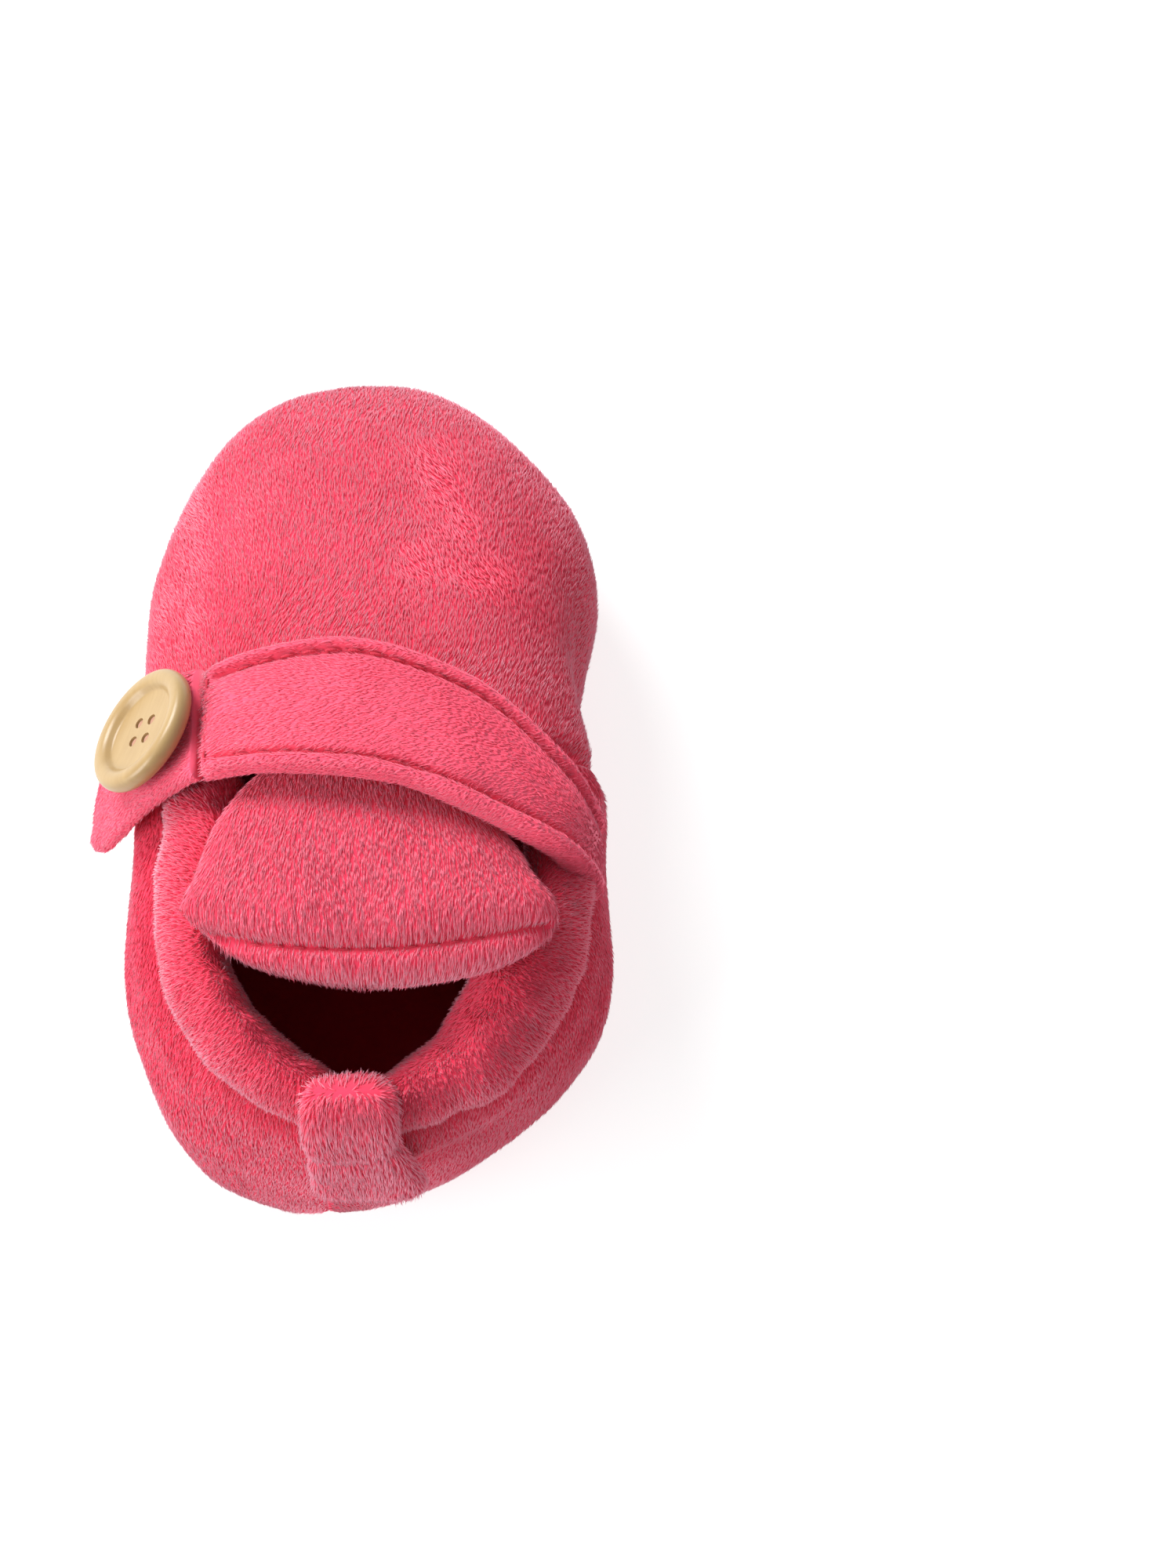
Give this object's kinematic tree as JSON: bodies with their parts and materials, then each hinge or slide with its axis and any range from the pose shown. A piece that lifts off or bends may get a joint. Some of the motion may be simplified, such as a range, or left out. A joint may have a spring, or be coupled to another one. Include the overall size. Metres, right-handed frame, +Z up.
{
  "type": "baby bootie",
  "caption": "Soft plush baby bootie for the left foot with a padded tongue, hook-and-loop strap, decorative button, heel tab and dotted grip sole.",
  "frame": {"origin": "middle of the sole on the ground, halfway between toe and heel of the sole seam", "axes": "+Y towards the toe, +X towards the big-toe side, +Z up"},
  "size_m": [0.0733, 0.1234, 0.0594],
  "materials": {
    "plush": "short plush pile, satin sheen",
    "plush_lining": "short plush pile, matt",
    "strap_plush": "short plush pile, satin sheen",
    "sole_cloth": "fine twill, matt",
    "grip": "soft satin print",
    "foam": "matt open-cell foam",
    "wadding": "loose white wadding",
    "footbed": "short plush pile, matt",
    "fastener": "hook-and-loop tape, matt",
    "button": "pale maple, satin varnish",
    "thread": "sewing thread, matt",
    "button_thread": "sewing thread, matt"
  },
  "bodies": {
    "shoe": {"outsole_fabric": "sole_cloth", "grip_dots": "grip", "sole_foam": "foam", "insole": "footbed", "vamp_outer": "plush", "vamp_wadding": "wadding", "vamp_lining": "plush_lining", "quarter_lateral": "plush", "quarter_medial": "plush", "quarter_wadding": "wadding", "quarter_lining": "plush_lining", "collar_cover": "plush", "collar_foam": "foam", "loop_patch": "fastener", "collar_stitch": "thread", "sole_seam_stitch": "thread"},
    "strap": {"strap_outer": "strap_plush", "strap_wadding": "wadding", "strap_backing": "plush_lining", "strap_topstitch": "thread", "tab_seam_stitch": "thread"},
    "tab": {"tab_outer": "strap_plush", "tab_backing": "plush_lining", "hook_patch": "fastener", "button": "button", "button_thread": "button_thread"},
    "tongue": {"tongue_outer": "plush", "tongue_wadding": "wadding", "tongue_lining": "plush_lining", "tongue_stitch": "thread"},
    "heel_tab": {"heel_tab": "plush", "heel_tab_stitch": "thread"}
  },
  "joints": [
    {"name": "strap_open", "type": "hinge", "parent": "shoe", "child": "strap", "pos_m": [0.03473, -0.022, 0.03952], "axis": [0, 0.9746, -0.2241], "range_deg": [0, 105]},
    {"name": "tab_peel", "type": "hinge", "parent": "strap", "child": "tab", "pos_m": [-0.02227, -0.003, 0.05141], "axis": [0, 0.9746, -0.2241], "range_deg": [0, 60]},
    {"name": "tongue_lift", "type": "hinge", "parent": "shoe", "child": "tongue", "pos_m": [0, -0.003, 0.045], "axis": [-1, 0, 0], "range_deg": [0, 50]},
    {"name": "heel_tab_swing", "type": "hinge", "parent": "shoe", "child": "heel_tab", "pos_m": [0, -0.0546, 0.049], "axis": [-1, 0, 0], "range_deg": [0, 40]}
  ],
  "couplings": [
    {"joint": "tongue_lift", "follows": "strap_open", "ratio": 0.45}
  ]
}
